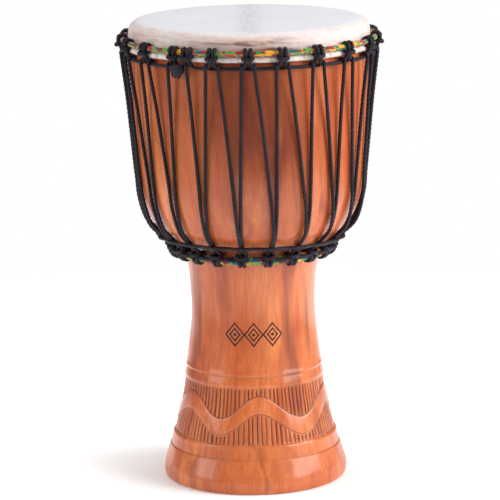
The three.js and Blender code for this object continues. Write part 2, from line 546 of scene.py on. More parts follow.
@dataclass(frozen=True)
class CarvedWood:
    """Oiled reddish hardwood with its grain upright, darker in the cuts, and a burnt ornament."""

    pale: Colour = srgb(217, 126, 72)
    middle: Colour = srgb(195, 94, 43)
    deep: Colour = srgb(152, 58, 22)
    streak: Colour = srgb(100, 36, 16)
    cut: Colour = srgb(86, 22, 5)
    # Heartwood's colour, also used as painted shade over the front of the bowl.
    heart_and_shade: Colour = srgb(118, 38, 11)
    char: Colour = srgb(30, 20, 22)
    ornament_height: float = 203.0
    ornament_pitch: float = 24.0
    ornament_squash: float = 0.8  # of a lozenge's height, in its outline's sum
    lines: tuple[float, float] = (11.6, 6.2)  # each lozenge's outer and inner half width
    stroke: float = 1.15
    dot_edge: tuple[float, float] = (1.68, 2.32)  # where the dot starts to fade and has gone

    def material(self) -> bpy.types.Material:
        """Long streaks are noise stretched along Z; cuts darken by the cut attribute.

        Returns:
            The material.
        """
        g = Graph("carved_wood", 0.42, 0.32)
        upright = g.mapped(g.place, (1, 1, 0.09))
        clouds = g.noise(g.mapped(g.place, (1, 1, 0.4)), 9, 3, 0.55, 0.6)
        broad = g.noise(upright, 34, 4, 0.6, 0.5)
        fibre = g.noise(g.mapped(g.place, (1, 1, 0.035)), 420, 3, 0.6)
        dashes = g.noise(g.mapped(g.place, (1, 1, 0.06), (0.3, 0.1, 0)), 1100, 2, 0.5)
        colour = g.ramp(broad, (0.28, self.deep), (0.46, self.middle), (0.68, self.pale))
        colour = g.mix(g.ramp(clouds, (0.44, 0.0), (0.70, 0.7)), colour, self.pale)
        smoke = g.noise(g.mapped(g.place, (1, 1, 0.55), (0.1, 0.6, 0)), 13, 4, 0.6, 1.2)
        colour = g.mix(g.ramp(smoke, (0.50, 0.0), (0.72, 0.55)), colour, self.deep)
        dark = g.noise(g.mapped(g.place, (1, 1, 0.05), (0.7, 0, 0.2)), 26, 3, 0.65, 0.8)
        colour = g.mix(g.ramp(dark, (0.55, 0.0), (0.72, 0.75)), colour, self.streak)
        colour = g.mix(g.ramp(fibre, (0.35, 0.28), (0.62, 0.0)), colour, self.deep)
        colour = g.mix(g.ramp(dashes, (0.64, 0.0), (0.72, 0.45)), colour, self.streak)
        # Heartwood, and painted shade over the front of the bowl, by the attribute.
        heart_and_shade = g.math("MULTIPLY", g.attribute("heart_and_shade"), g.ramp(broad, (0.30, 1.0), (0.72, 0.45)))
        colour = g.mix(heart_and_shade, colour, self.heart_and_shade)
        colour = g.mix(g.attribute("cut"), colour, self.cut)
        burnt = self._ornament(g)
        colour = g.mix(burnt, colour, self.char)
        relief = g.bump(fibre, 0.25, 0.25)
        relief = g.bump(clouds, 0.25, 1.5, relief)
        relief = g.bump(burnt, -0.6, 0.5, relief)
        gloss = g.ramp(broad, (0.3, 0.46), (0.7, 0.34))
        return g.finish(colour, relief, gloss, Coat_Weight=0.4, Coat_Roughness=0.12)

    def _ornament(self, g: Graph) -> Socket:
        """Three burnt lozenges in a row with a dot in each, as a mask.

        In millimetres, with u the distance from the middle of the nearest lozenge and v the height
        from the row's middle, a lozenge's line is where |u| + squash |v| is within a stroke of its
        half width, and its dot is where u^2 + v^2 is small.

        Args:
            g: The material's nodes.

        Returns:
            1 where the wood is burnt and 0 elsewhere.
        """
        span = 4.0  # millimetres that a ramp of 0 to 1 stands for
        across, deep, v = g.split(g.mapped(g.place, (1 / MM, 1 / MM, 1 / MM), (0, 0, -self.ornament_height)))
        nearest = g.math("ROUND", g.math("DIVIDE", across, self.ornament_pitch))
        u = g.math("SUBTRACT", across, g.math("MULTIPLY", nearest, self.ornament_pitch))
        height = g.math("ABSOLUTE", v)
        reach = g.math("ADD", g.math("ABSOLUTE", u), g.math("MULTIPLY", height, self.ornament_squash))
        wobble = g.math("MULTIPLY", g.math("SUBTRACT", g.noise(g.place, 220, 2), 0.5), 1.6)
        masks = []
        for line in self.lines:
            off = g.math("ABSOLUTE", g.math("SUBTRACT", g.math("ADD", reach, wobble), line))
            edge = ((self.stroke / span - 0.06, 1.0), (self.stroke / span + 0.10, 0.0))
            masks.append(g.ramp(g.math("DIVIDE", off, span), *edge))
        dot = g.math("SQRT", g.math("ADD", g.math("MULTIPLY", u, u), g.math("MULTIPLY", v, v)))
        whole, gone = (edge / span for edge in self.dot_edge)
        masks.append(g.ramp(g.math("DIVIDE", dot, span), (whole, 1.0), (gone, 0.0)))
        mask = g.math("MAXIMUM", g.math("MAXIMUM", masks[0], masks[1]), masks[2])
        in_row = g.math("LESS_THAN", g.math("ABSOLUTE", across), self.ornament_pitch * 1.5)
        in_front = g.math("LESS_THAN", deep, 0.0)
        near = g.math("LESS_THAN", height, 20.0)
        return g.math("MULTIPLY", mask, g.math("MULTIPLY", in_row, g.math("MULTIPLY", in_front, near)))


@dataclass(frozen=True)
class Goatskin:
    """Stretched raw goatskin: cool and smooth on top, creamy, streaked and puckered at the side."""

    top: Colour = srgb(229, 228, 234)
    top_cloud: Colour = srgb(214, 212, 219)
    top_fibre: Colour = srgb(196, 192, 200)
    side: Colour = srgb(230, 211, 201)
    shade: Colour = srgb(188, 160, 148)
    hair: Colour = srgb(118, 76, 60)
    tan: Colour = srgb(196, 158, 142)
    grey: Colour = srgb(134, 126, 124)

    def material(self) -> bpy.types.Material:
        """The side, fold, hide and spine attributes say where each colour goes.

        Puckers are noise stretched along Z, and the streaks of hair are noise stretched round.

        Returns:
            The material.
        """
        g = Graph("goatskin", 0.55, 0.4)
        side, fold, hide = g.attribute("side"), g.attribute("fold"), g.attribute("hide")
        clouds = g.noise(g.place, 14, 4, 0.6)
        top = g.mix(g.ramp(clouds, (0.35, 0.0), (0.75, 0.45)), self.top, self.top_cloud)
        fibres = g.noise(g.mapped(g.place, (1, 0.12, 1)), 260, 3, 0.6)
        top = g.mix(g.ramp(fibres, (0.55, 0.0), (0.8, 0.25)), top, self.top_fibre)
        puckers = g.noise(g.mapped(g.place, (1, 1, 0.12)), 150, 3, 0.6)
        wall = g.mix(g.ramp(puckers, (0.45, 0.0), (0.8, 0.35)), self.side, self.shade)
        colour = g.mix(g.math("MULTIPLY", side, g.ramp(clouds, (0.3, 1.0), (0.7, 0.55))), top, wall)
        grain = g.noise(g.mapped(g.place, (0.5, 0.5, 2.6), (0.2, 0, 0.7)), 110, 4, 0.7, 0.5)
        colour = g.mix(g.math("MULTIPLY", side, g.ramp(grain, (0.46, 0.0), (0.72, 0.5))), colour, self.shade)
        colour = g.mix(g.math("MULTIPLY", hide, g.ramp(clouds, (0.2, 0.75), (0.8, 0.35))), colour, self.tan)
        streaks = g.noise(g.mapped(g.place, (0.28, 0.28, 3.0)), 70, 5, 0.75, 0.4)
        colour = g.mix(g.math("MULTIPLY", hide, g.ramp(streaks, (0.47, 0.0), (0.60, 0.9))), colour, self.hair)
        along_spine = g.math("MULTIPLY", g.attribute("spine"), g.ramp(fibres, (0.35, 0.2), (0.7, 0.8)))
        colour = g.mix(along_spine, colour, self.top_fibre)
        scars = g.noise(g.mapped(g.place, (1, 0.6, 1), (0.6, 0.1, 0)), 48, 5, 0.7, 1.5)
        colour = g.mix(g.ramp(scars, (0.62, 0.0), (0.76, 0.45)), colour, self.top_fibre)
        mottle = g.noise(g.mapped(g.place, (1, 1, 0.6), (0.4, 0, 0)), 210, 4, 0.7)
        colour = g.mix(g.math("MULTIPLY", fold, g.ramp(mottle, (0.50, 0.0), (0.66, 0.8))), colour, self.grey)
        pores = g.noise(g.place, 1400, 2)
        relief = g.bump(pores, 0.12, 0.3)
        relief = g.bump(g.math("MULTIPLY", side, puckers), 0.4, 0.8, relief)
        relief = g.bump(g.math("MULTIPLY", fold, mottle), 0.5, 1.0, relief)
        return g.finish(colour, relief, Sheen_Weight=0.08)


@dataclass(frozen=True)
class PrintedCloth:
    """Wax-print cotton strip: patches of crimson, yellow, green and teal with dark outlines."""

    crimson: Colour = srgb(158, 30, 52)
    yellow: Colour = srgb(236, 160, 30)
    green: Colour = srgb(74, 148, 52)
    teal: Colour = srgb(20, 88, 104)
    outline: Colour = srgb(26, 34, 38)

    def material(self) -> bpy.types.Material:
        """The dye attribute is a place in the print from 0 to 1, and picks the patch.

        Returns:
            The material.
        """
        g = Graph("printed_cloth", 0.75, 0.3)
        wobble = g.math("MULTIPLY", g.math("SUBTRACT", g.noise(g.place, 95, 3, 0.6), 0.5), 0.30)
        place = g.math("FRACT", g.math("ADD", g.attribute("dye"), wobble))
        patches = (
            (0.00, self.crimson), (0.20, self.yellow), (0.30, self.green), (0.44, self.teal),
            (0.50, self.yellow), (0.62, self.crimson), (0.72, self.green), (0.88, self.teal),
        )
        colour = g.ramp(place, *patches, steps=True)
        leaves = self._leaves(g)
        drift = g.noise(g.mapped(g.place, (1, 1, 1), (0.2, 0.5, 0.1)), 130, 1)
        fleck = g.ramp(drift, (0.0, self.yellow), (0.46, self.teal), (0.55, self.crimson), steps=True)
        colour = g.mix(g.ramp(leaves, (0.12, 0.0), (0.14, 1.0)), fleck, colour)
        from_edge = g.math("ABSOLUTE", g.math("SUBTRACT", leaves, 0.13))
        colour = g.mix(g.ramp(from_edge, (0.022, 0.9), (0.034, 0.0)), colour, self.outline)
        u, v, _ = g.split(g.uv())
        warp, weft = (
            g.math("SINE", g.math("MULTIPLY", way, threads)) for way, threads in ((v, 2200.0), (u, 190.0))
        )
        thread = g.math("MULTIPLY", warp, weft)
        relief = g.bump(thread, 0.25, 0.12)
        relief = g.bump(g.noise(g.place, 500, 3), 0.3, 0.35, relief)
        return g.finish(colour, relief, Sheen_Weight=0.2, Sheen_Roughness=0.5)

    @staticmethod
    def _leaves(g: Graph) -> Socket:
        """Scattered oval leaves.

        Args:
            g: The material's nodes.

        Returns:
            Half the distance to the middle of the nearest leaf.
        """
        node = g.tree.nodes.new("ShaderNodeTexVoronoi")
        g.put(node.inputs["Vector"], g.mapped(g.place, (1, 1, 1.4)))
        node.inputs["Scale"].default_value = 78
        node.inputs["Randomness"].default_value = 0.85
        return g.math("MULTIPLY", node.outputs["Distance"], 0.5)


@dataclass(frozen=True)
class BraidedCord:
    """Black braided polyester cord, slightly violet, with dust and a painted highlight on its high threads.
    """

    thread: Colour = srgb(31, 22, 36)
    gap_shade: Colour = srgb(3, 2, 5)
    dust_and_highlight: Colour = srgb(70, 60, 84)

    def material(self) -> bpy.types.Material:
        """The raised attribute is 1 on the crown of each plait and 0 between plaits, where the colour falls
        to painted shade.

        Returns:
            The material.
        """
        g = Graph("black_rope", 0.55, 0.26)
        raised = g.attribute("raised")
        # Painted shade: the colour falls to near black between the plaits.
        colour = g.mix(g.ramp(raised, (0.2, 0.0), (0.9, 1.0)), self.gap_shade, self.thread)
        # Dust and a painted highlight: patches of lighter violet grey on the crowns of the plaits.
        dusty_highlight = g.noise(g.place, 60, 4, 0.65)
        colour = g.mix(g.math("MULTIPLY", g.ramp(dusty_highlight, (0.5, 0.0), (0.8, 0.55)), raised), colour, self.dust_and_highlight)
        strands = g.noise(g.mapped(g.place, (1, 1, 0.5)), 2600, 2)
        relief = g.bump(strands, 0.35, 0.2)
        return g.finish(colour, relief, Sheen_Weight=0.05, Sheen_Roughness=0.4)


@dataclass(frozen=True)
class RingSteel:
    """Plain round bar, dull and lightly scratched."""

    bright: Colour = srgb(150, 152, 156)
    dull: Colour = srgb(96, 96, 100)

    def material(self) -> bpy.types.Material:
        """Scratches are noise squeezed along Z.

        Returns:
            The material.
        """
        g = Graph("ring_steel", 0.4)
        marks = g.noise(g.mapped(g.place, (1, 1, 12)), 160, 4, 0.7)
        colour = g.mix(marks, self.dull, self.bright)
        return g.finish(colour, g.bump(marks, 0.2, 0.1), g.ramp(marks, (0.3, 0.5), (0.7, 0.3)), Metallic=1.0)


# ---------------------------------------------------------------------------------------------
# The wooden shell


@dataclass
class CarvedBand:
    """The hatched field on the flare, with a smooth serpentine band standing in it.

    The grid's rows follow the band's two outlines, so that every edge is crisp. Each groove of the
    hatching has its own width, depth and lean.
    """

    grooves: int = 104
    per_groove: int = 8
    top: float = 134.2
    bottom: float = 61.8
    # The serpentine's turns: (azimuth, upper outline, lower outline), peaks and troughs in turn.
    turns: Stations = (
        (-59.6, 122.9, 98.9), (-27.2, 94.8, 73.6), (3.0, 124.0, 101.2), (38.2, 94.2, 71.8),
        (77.0, 122.5, 99.5), (113.0, 95.0, 73.0), (150.5, 123.5, 100.5), (187.0, 94.5, 72.5),
        (226.0, 123.0, 100.0), (263.0, 94.5, 72.6),
    )
    depth: float = 1.35
    recess: float = 0.9
    # Rows of the grid: millimetres in from a rim, shares of a field, and steps from an outline.
    bottom_rim: tuple[float, ...] = (0.0, 0.35, 1.0, 2.2, 3.8)
    top_rim: tuple[float, ...] = (2.2, 1.0, 0.35, 0.0)
    lower_shares: tuple[float, ...] = (0.25, 0.5, 0.75, 1.0)
    upper_shares: tuple[float, ...] = (0.0, 0.25, 0.5, 0.75, 1.0)
    band_shares: tuple[float, ...] = (0.07, 0.16, 0.3, 0.5, 0.7, 0.84, 0.93)
    lower_outline: tuple = ((-2.4, "field"), (-1.5, "field"), (-0.75, "lip"), (0.0, "cut"), (0.7, "edge"))
    upper_outline: tuple = ((-0.7, "edge"), (0.0, "cut"), (0.8, "lip"), (1.6, "field"), (2.6, "field"))

    def outlines(self, azimuth: Array) -> tuple[Array, Array]:
        """The serpentine's outlines: half cosines between its turns.

        Args:
            azimuth: Where round the drum.

        Returns:
            The upper and the lower heights.
        """
        turns = np.array(self.turns)
        at = np.concatenate([turns[:, 0], [turns[0, 0] + 360.0]])
        place = (azimuth - at[0]) % 360.0 + at[0]
        span = np.clip(np.searchsorted(at, place, side="right") - 1, 0, len(turns) - 1)
        share = (place - at[span]) / (at[span + 1] - at[span])
        blend = 0.5 - 0.5 * np.cos(np.pi * share)
        following = (span + 1) % len(turns)
        return tuple(turns[span, k] * (1 - blend) + turns[following, k] * blend for k in (1, 2))

    def azimuths(self) -> Array:
        """One azimuth for each column, shifted so that the grooves are unevenly wide.

        Returns:
            Degrees, growing.
        """
        draw = np.random.default_rng(SEED)
        pitch = 360.0 / self.grooves
        shifts = draw.uniform(-0.14, 0.14, self.grooves) * pitch
        base = np.arange(self.grooves * self.per_groove) * pitch / self.per_groove
        centres = (np.arange(self.grooves + 2) - 0.5) * pitch
        return base + np.interp(base, centres, shifts[np.arange(-1, self.grooves + 1) % self.grooves])

    def grid(self, radius_at: Callable[[Array], Array]) -> tuple[Array, dict[str, Array]]:
        """The carved field as a grid.

        Args:
            radius_at: The uncut wood's radius at a height.

        Returns:
            Points, and the cut attribute: 1 at the bottom of a cut.
        """
        azimuth = self.azimuths()[None, :]
        upper, lower = self.outlines(azimuth)
        level = np.ones_like(azimuth)
        rows = [((self.bottom + step) * level, "field") for step in self.bottom_rim]
        floor, ceiling = self.bottom + self.bottom_rim[-1], lower - 3.4
        rows += [(floor + (ceiling - floor) * share, "field") for share in self.lower_shares]
        rows += [(lower + step, kind) for step, kind in self.lower_outline]
        rows += [(lower + (upper - lower) * share, "band") for share in self.band_shares]
        rows += [(upper + step, kind) for step, kind in self.upper_outline]
        floor, ceiling = upper + 3.6, self.top - 3.8
        rows += [(floor + (ceiling - floor) * share, "field") for share in self.upper_shares]
        rows += [((self.top - step) * level, "field") for step in self.top_rim]
        height = np.concatenate([row for row, _ in rows])
        kinds = np.array([kind for _, kind in rows])[:, None]
        cut, sunk, lean = self._carve(height, upper, lower, kinds)
        return polar(azimuth + lean, radius_at(height) - sunk, height), {"cut": cut}

    def _carve(self, height: Array, upper: Array, lower: Array, kinds: Array) -> tuple[Array, Array, Array]:
        """How deep the grooves and outlines go.

        A groove's section is a V: its depth falls off linearly from its middle. It fades out near the
        field's two rims and just under the band, and runs into the outline above the band.

        Args:
            height: The grid's heights.
            upper: The serpentine's upper outline.
            lower: Its lower outline.
            kinds: What each row of the grid is.

        Returns:
            The cut attribute, the depth under the uncut wood, and the grooves' lean in degrees.
        """
        draw = np.random.default_rng(SEED + 1)
        columns = np.arange(height.shape[1])
        number, phase = columns // self.per_groove, columns % self.per_groove / self.per_groove
        vee = np.clip(1.0 - np.abs(phase - 0.5) / 0.27, 0.0, 1.0)
        strength = draw.uniform(0.72, 1.15, self.grooves)[number]
        start, stop = (draw.uniform(0.1, high, self.grooves)[number] for high in (1.5, 0.6))
        from_top, from_bottom = self.top - height, height - self.bottom
        rim = smoothstep(0.0, 1.4, from_top - start) * smoothstep(0.0, 0.8, from_bottom - stop)
        under = np.where(height < lower, smoothstep(1.0, 2.4, lower - height), 1.0)
        over = np.where(height > upper, smoothstep(-0.2, 0.8, height - upper), 1.0)
        in_field, on_line, on_edge = (kinds == "field") | (kinds == "lip"), kinds == "cut", kinds == "edge"
        groove = vee * strength * rim * under * over * in_field
        lean = draw.uniform(-0.35, 0.35, self.grooves)[number] * (height - 98.0) / 36.0
        sunk = self.recess * in_field * smoothstep(0.0, 1.2, from_top) * smoothstep(0.0, 1.2, from_bottom)
        line = 1.3 * on_line + 0.35 * on_edge
        middle = (upper + lower) / 2
        crown = 0.35 * (1 - ((height - middle) / ((upper - lower) / 2)) ** 2) * (kinds == "band")
        stain = 0.95 * groove**1.3 + 0.9 * on_line + 0.25 * on_edge + 0.12 * in_field
        return np.clip(stain, 0, 1), groove * self.depth + sunk + line - crown, lean


@dataclass(frozen=True)
class HeartAndShade:
    """A soft darker patch: heartwood, and painted shade for the broad one on the bowl's front. Its middle,
    half sizes and strength.
    """

    azimuth: float
    height: float
    wide: float
    tall: float
    share: float


@dataclass
class Shell:
    """The body carved from one log: foot, carved flare, stem, bowl, bearing edge and hollow."""

    finish: CarvedWood = CarvedWood()
    band: CarvedBand = field(default_factory=CarvedBand)
    ratio: int = 4  # columns in the carved band for each column elsewhere
    foot: Stations = (
        (99.5, 0.0), (103.0, 0.0), (110.0, 0.0), (114.2, 0.35), (116.8, 1.7), (118.3, 4.2), (119.2, 8.5),
        (119.3, 12.5), (118.4, 18.5), (116.2, 26.0), (113.4, 35.0), (111.3, 41.6), (110.6, 43.4),
        (109.5, 44.0), (109.2, 45.4), (107.9, 52.0), (107.0, 56.6), (106.8, 58.8), (106.1, 60.6),
        (105.3, 61.5),
    )
    flare: Stations = (
        (104.9, 61.8), (102.6, 72.0), (98.8, 87.0), (95.6, 101.5), (92.6, 117.0), (90.0, 134.2),
    )
    ridge: Stations = (
        (90.3, 135.2), (90.5, 137.0), (89.5, 141.5), (88.3, 146.2), (87.8, 148.2), (88.3, 149.6),
        (89.0, 151.0), (88.6, 152.2),
    )
    stem: Stations = (
        (87.6, 156.0), (84.3, 180.0), (81.4, 205.0), (80.3, 230.0), (81.0, 255.0), (83.8, 279.0),
        (88.0, 297.5),
    )
    neck: Stations = (
        (90.0, 306.0), (92.6, 311.6), (96.5, 314.6), (101.5, 316.1), (107.5, 318.3), (113.2, 322.8),
    )
    bowl: Stations = (
        (119.5, 330.2), (128.4, 341.5), (137.2, 360.0), (142.6, 381.0), (145.6, 404.0), (148.5, 440.0),
        (150.6, 480.0), (152.0, 520.0), (153.0, 560.0),
    )
    bearing_edge: Stations = (
        (153.3, 582.0), (152.9, 588.0), (151.2, 592.2), (148.0, 595.2), (143.6, 597.1), (139.0, 597.0),
        (137.0, 594.0),
    )
    hollow: Stations = (
        (136.9, 560.0), (137.2, 500.0), (134.4, 420.0), (124.6, 362.0), (101.0, 327.0), (67.0, 303.5),
    )
    throat: Stations = (
        (58.6, 290.0), (58.2, 260.0), (58.6, 228.0), (63.0, 175.0), (71.5, 120.0), (83.0, 60.0),
        (95.0, 8.0), (97.6, 1.6),
    )
    # Stained lines that are cut round the wood: (height, half width, share).
    stained: Stations = ((44.2, 0.9, 0.15), (148.0, 1.2, 0.2))
    inside_radius: float = 84.0  # no line is stained nearer the axis than this
    hearts_and_shade: tuple[HeartAndShade, ...] = (
        HeartAndShade(-9.0, 520.0, 15.0, 80.0, 1.0), HeartAndShade(14.0, 480.0, 11.0, 90.0, 0.75),
        HeartAndShade(-40.0, 540.0, 8.0, 60.0, 0.4), HeartAndShade(-30.0, 250.0, 9.0, 60.0, 0.35),
        # The broad patch at -4 degrees is painted shade over the front of the bowl, under the ropes and
        # collar.
        HeartAndShade(-4.0, 430.0, 42.0, 150.0, 0.4), HeartAndShade(100.0, 440.0, 26.0, 110.0, 0.6),
        HeartAndShade(-135.0, 300.0, 22.0, 130.0, 0.5), HeartAndShade(165.0, 150.0, 30.0, 90.0, 0.4),
    )

    def build(self) -> bpy.types.Object:
        """Builds the shell: two plain blocks with the finer carved block between them.

        Returns:
            The piece.
        """
        surface = Surface("djembe_shell")
        fine_azimuth = self.band.azimuths()
        azimuth = fine_azimuth[:: self.ratio][None, :]
        below = self._turned(catmull(np.array(self.foot), 2), azimuth, 0.30)
        foot = surface.add_grid(below, {"cut": self._line_cut(below), "heart_and_shade": self._heart_and_shade(below)})
        flare = catmull(np.array(self.flare), 12)
        points, fields = self.band.grid(lambda z: np.interp(z, flare[:, 1], flare[:, 0]))
        carved = surface.add_grid(points, {**fields, "heart_and_shade": self._heart_and_shade(points)})
        above = self._turned(self._upper_profile(), azimuth, 0.35)
        upper = surface.add_grid(above, {"cut": self._line_cut(above), "heart_and_shade": self._heart_and_shade(above)})
        surface.add_quads(foot, np.arange(len(foot)) * 1.0)
        surface.add_step(foot[-1], carved[0], 0.0, True)
        surface.add_quads(carved, np.arange(len(carved)) * 1.0)
        surface.add_step(upper[0], carved[-1], 0.0, False)
        surface.add_quads(upper, np.arange(len(upper)) * 1.0)
        surface.add_quads(np.stack([upper[-1], foot[0]]), np.arange(2.0))
        return surface.build(Slot.WOOD, self.finish.material(), "shell")

    def _upper_profile(self) -> Array:
        """Everything above the carved band and back down the hollow, as one outline.

        Returns:
            (n, 2) radii and heights.
        """
        sharp = catmull(np.array(self.ridge), 2)
        outer = catmull(np.array(self.stem + self.neck + self.bowl + self.bearing_edge), 3)
        inner = catmull(np.array(self.hollow + self.throat), 3)
        return np.concatenate([sharp, outer, inner])

    @staticmethod
    def _turned(profile: Array, azimuth: Array, wobble: float) -> Array:
        """Turns an outline about the axis, and lets it wander a little, as hand carving does.

        The wander is a smooth field of a few tenths of a millimetre, and is nothing at the floor.

        Args:
            profile: (n, 2) radii and heights.
            azimuth: (1, columns) degrees.
            wobble: The wander's size in millimetres.

        Returns:
            (n, columns, 3) points.
        """
        radius, height = profile[:, :1], profile[:, 1:]
        hand = waves(SEED + 2, azimuth, height, (2, 9), 60.0) * wobble * smoothstep(0, 12, height)
        ledge = smoothstep(400, 590, height)
        return polar(azimuth, radius + hand * (1 - 0.7 * ledge), height)

    def _line_cut(self, points: Array) -> Array:
        """The stain that stays in the thin scribed lines and the cove, by height.

        Args:
            points: (rows, columns, 3) points.

        Returns:
            The cut attribute at each point: bell curves round the lines' heights.
        """
        outer = np.linalg.norm(points[..., :2], axis=-1) > self.inside_radius
        bells = [share * np.exp(-(((points[..., 2] - at) / half) ** 2)) for at, half, share in self.stained]
        return sum(bells) * outer

    def _heart_and_shade(self, points: Array) -> Array:
        """Where the wood is darker: the log's heartwood, and painted shade over the front of the bowl.

        Args:
            points: (rows, columns, 3) points.

        Returns:
            The attribute for heartwood and painted shade, 0 to 1: a sum of bell curves round the patches'
            middles.
        """
        turn = np.degrees(np.arctan2(points[..., 0], -points[..., 1]))
        total = np.zeros(turn.shape)
        for heart_and_shade in self.hearts_and_shade:
            off = (turn - heart_and_shade.azimuth + 180.0) % 360.0 - 180.0
            rise = (points[..., 2] - heart_and_shade.height) / heart_and_shade.tall
            total += heart_and_shade.share * np.exp(-((off / heart_and_shade.wide) ** 2) - rise**2)
        return np.clip(total, 0.0, 1.0)


# ---------------------------------------------------------------------------------------------
# Head


@dataclass
class Drumhead:
    """One goatskin: flat on top, bent over the bearing edge, down the side and round its hoop."""

    finish: Goatskin = Goatskin()
    thickness: float = 1.2
    rim: float = 133.0
    over: Stations = (
        (138.5, 599.9), (143.0, 599.2), (147.2, 597.8), (150.6, 595.4), (153.0, 592.0), (154.4, 587.6),
    )
    wall: Stations = ((154.9, 583.0), (155.0, 578.0), (154.7, 574.5))
    fold_radius: float = 3.7
    fold_end: float = 122.0
    columns: int = 360
    pleats: tuple[int, int] = (36, 90)
    # Dark patches of hide at the side: (azimuth, half width, share).
    patches: Stations = ((-1.0, 24.0, 1.0), (-62.0, 14.0, 0.5), (120.0, 30.0, 0.35))
    spine_half: float = 15.0

    def build(self, hoop: "Hoop") -> bpy.types.Object:
        """Builds the skin as a thin closed sheet, outside first and then back underneath.

        Args:
            hoop: The flesh ring, which it folds round.

        Returns:
            The piece.
        """
        outside, inside = self._outlines(hoop)
        profile = np.concatenate([outside, inside[::-1]])
        azimuth = np.arange(self.columns)[None, :] * 360.0 / self.columns
        radius, height = profile[:, :1], profile[:, 1:]
        puckered = smoothstep(593, 576, height) * smoothstep(145, 154, radius)
        pleat = waves(SEED + 5, azimuth, height, self.pleats, 30.0)
        radius = radius + puckered * (0.22 * pleat + 0.10 * waves(SEED + 6, azimuth, height, (90, 150), 9.0))
        near_fold = smoothstep(575.5, 571.0, height)
        radius = radius + near_fold * 0.35 * waves(SEED + 7, azimuth, height, (30, 110), 7.0) * (radius > 157)
        sag = 0.25 * waves(SEED + 8, azimuth, radius, (1, 4), 80.0) * smoothstep(130, 60, radius)
        surface = Surface("djembe_drumhead")
        points = polar(azimuth, radius, height - np.abs(sag))
        numbers = surface.add_grid(points, self._fields(azimuth, radius, height))
        lengths = np.linalg.norm(np.diff(profile, axis=0), axis=1)
        along = np.concatenate([[0.0], np.cumsum(lengths)]) * UV_PER_MM
        surface.add_quads(numbers, along)
        surface.add_pole(numbers[0], (0, 0, HEIGHT_MM), along[0], True)
        surface.add_pole(numbers[-1], (0, 0, HEIGHT_MM - self.thickness), along[-1], False)
        piece = surface.build(Slot.SKIN, self.finish.material(), "drumhead")
        return piece

    def _outlines(self, hoop: "Hoop") -> tuple[Array, Array]:
        """The sheet's two outlines, from near the middle to the tucked edge.

        Args:
            hoop: The flesh ring.

        Returns:
            The outside and the inside, as (n, 2) radii and heights.
        """
        flat = np.stack([np.linspace(4.0, self.rim, 14), np.full(14, HEIGHT_MM)], axis=1)
        bend = catmull(np.array(self.over + self.wall), 3)
        angle = np.radians(np.linspace(180.0, 360.0 + self.fold_end, 34))[:, None]
        ring = np.array([[hoop.radius, hoop.height]])
        round_ring = np.concatenate([np.cos(angle), np.sin(angle)], axis=1)
        # On the way down the skin touches the wood, and the fold's outer side is the sheet's outside.
        down = np.concatenate([flat, bend])
        inner_wall = down - self._normals(down) * self.thickness
        outer_fold = ring + round_ring * self.fold_radius
        inner_fold = ring + round_ring * (self.fold_radius - self.thickness)
        return np.concatenate([down, inner_fold[5:]]), np.concatenate([inner_wall, outer_fold])

    @staticmethod
    def _normals(line: Array) -> Array:
        """Unit vectors to the left of a line's direction, pointing out of the drum.

        Args:
            line: (n, 2) radii and heights.

        Returns:
            (n, 2) vectors.
        """
        tangent = np.gradient(line, axis=0)
        tangent /= np.linalg.norm(tangent, axis=1)[:, None]
        return np.stack([-tangent[:, 1], tangent[:, 0]], axis=1)

    def _fields(self, azimuth: Array, radius: Array, height: Array) -> dict[str, Array]:
        """Where the spine, the side, the fold and the patches of dark hide are.

        Args:
            azimuth: (1, columns) degrees.
            radius: Radii of the grid.
            height: Heights of the grid.

        Returns:
            Attributes of 0 to 1, by name.
        """
        turn = (azimuth + 180.0) % 360.0 - 180.0
        dark = sum(share * np.exp(-(((turn - at) / half) ** 2)) for at, half, share in self.patches)
        low = smoothstep(598.6, 588.0, height) * smoothstep(572, 576, height)
        speckled = 0.30 + 0.25 * waves(SEED + 9, azimuth, 0.0 * height, (3, 11), 90.0)
        beside = radius * np.sin(np.radians(turn)) / self.spine_half
        return {
            "spine": np.exp(-(beside**2)) * smoothstep(152, 140, radius),
            "side": smoothstep(139, 151, radius),
            "fold": smoothstep(575.5, 573.0, height),
            "hide": np.clip(dark * low + speckled * smoothstep(584, 577, height) * low, 0, 1),
        }


# ---------------------------------------------------------------------------------------------
# Rings


@dataclass
class Hoop:
    """A steel ring of round bar, with the bead where its ends are welded."""

    node: str
    radius: float
    height: float
    rod: float
    weld: float = 160.0
    bead: tuple[float, float] = (0.25, 1.1)  # its height in millimetres and half width in degrees
    rows: int = 16
    columns: int = 240

    @classmethod
    def within(cls, node: str, around: str, cloth: float, rod: float) -> "Hoop":
        """Places a hoop in the middle of the sleeve that is wound on it.

        Args:
            node: The hoop's CAD node.
            around: The sleeve's CAD node.
            cloth: The sleeve's outer radius in section, in millimetres.
            rod: The bar's radius.

        Returns:
            The hoop.
        """
        low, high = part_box(around)
        outer = max(high.x, high.y, -low.x, -low.y) / MM
        return cls(node, outer - cloth, (low.z + high.z) / 2 / MM, rod)

    def section(self, rows: int, columns: int) -> tuple[Array, Array]:
        """Angles round the bar and azimuths round the ring, as a grid's two axes."""
        return np.arange(rows)[:, None] * 360.0 / rows, np.arange(columns)[None, :] * 360.0 / columns

    def torus(self, angle: Array, azimuth: Array, bar: Array) -> Array:
        """Points at an angle round a bar of that radius, at an azimuth round the ring."""
        a = np.radians(angle)
        return polar(azimuth, self.radius + bar * np.cos(a), self.height + bar * np.sin(a))

    def build(self, finish: RingSteel) -> bpy.types.Object:
        """Builds the steel ring; the weld is a bell curve a quarter of a millimetre high.

        Args:
            finish: The steel.

        Returns:
            The piece.
        """
        angle, azimuth = self.section(self.rows, self.columns)
        rise, half = self.bead
        bead = rise * np.exp(-(((azimuth - self.weld) / half) ** 2))
        surface = Surface(f"djembe_{self.node}")
        numbers = surface.add_grid(self.torus(angle, azimuth, self.rod + bead))
        surface.add_quads(numbers, np.linspace(0, 1, self.rows + 1), closed=True)
        return surface.build(Slot.STEEL, finish.material(), self.node)


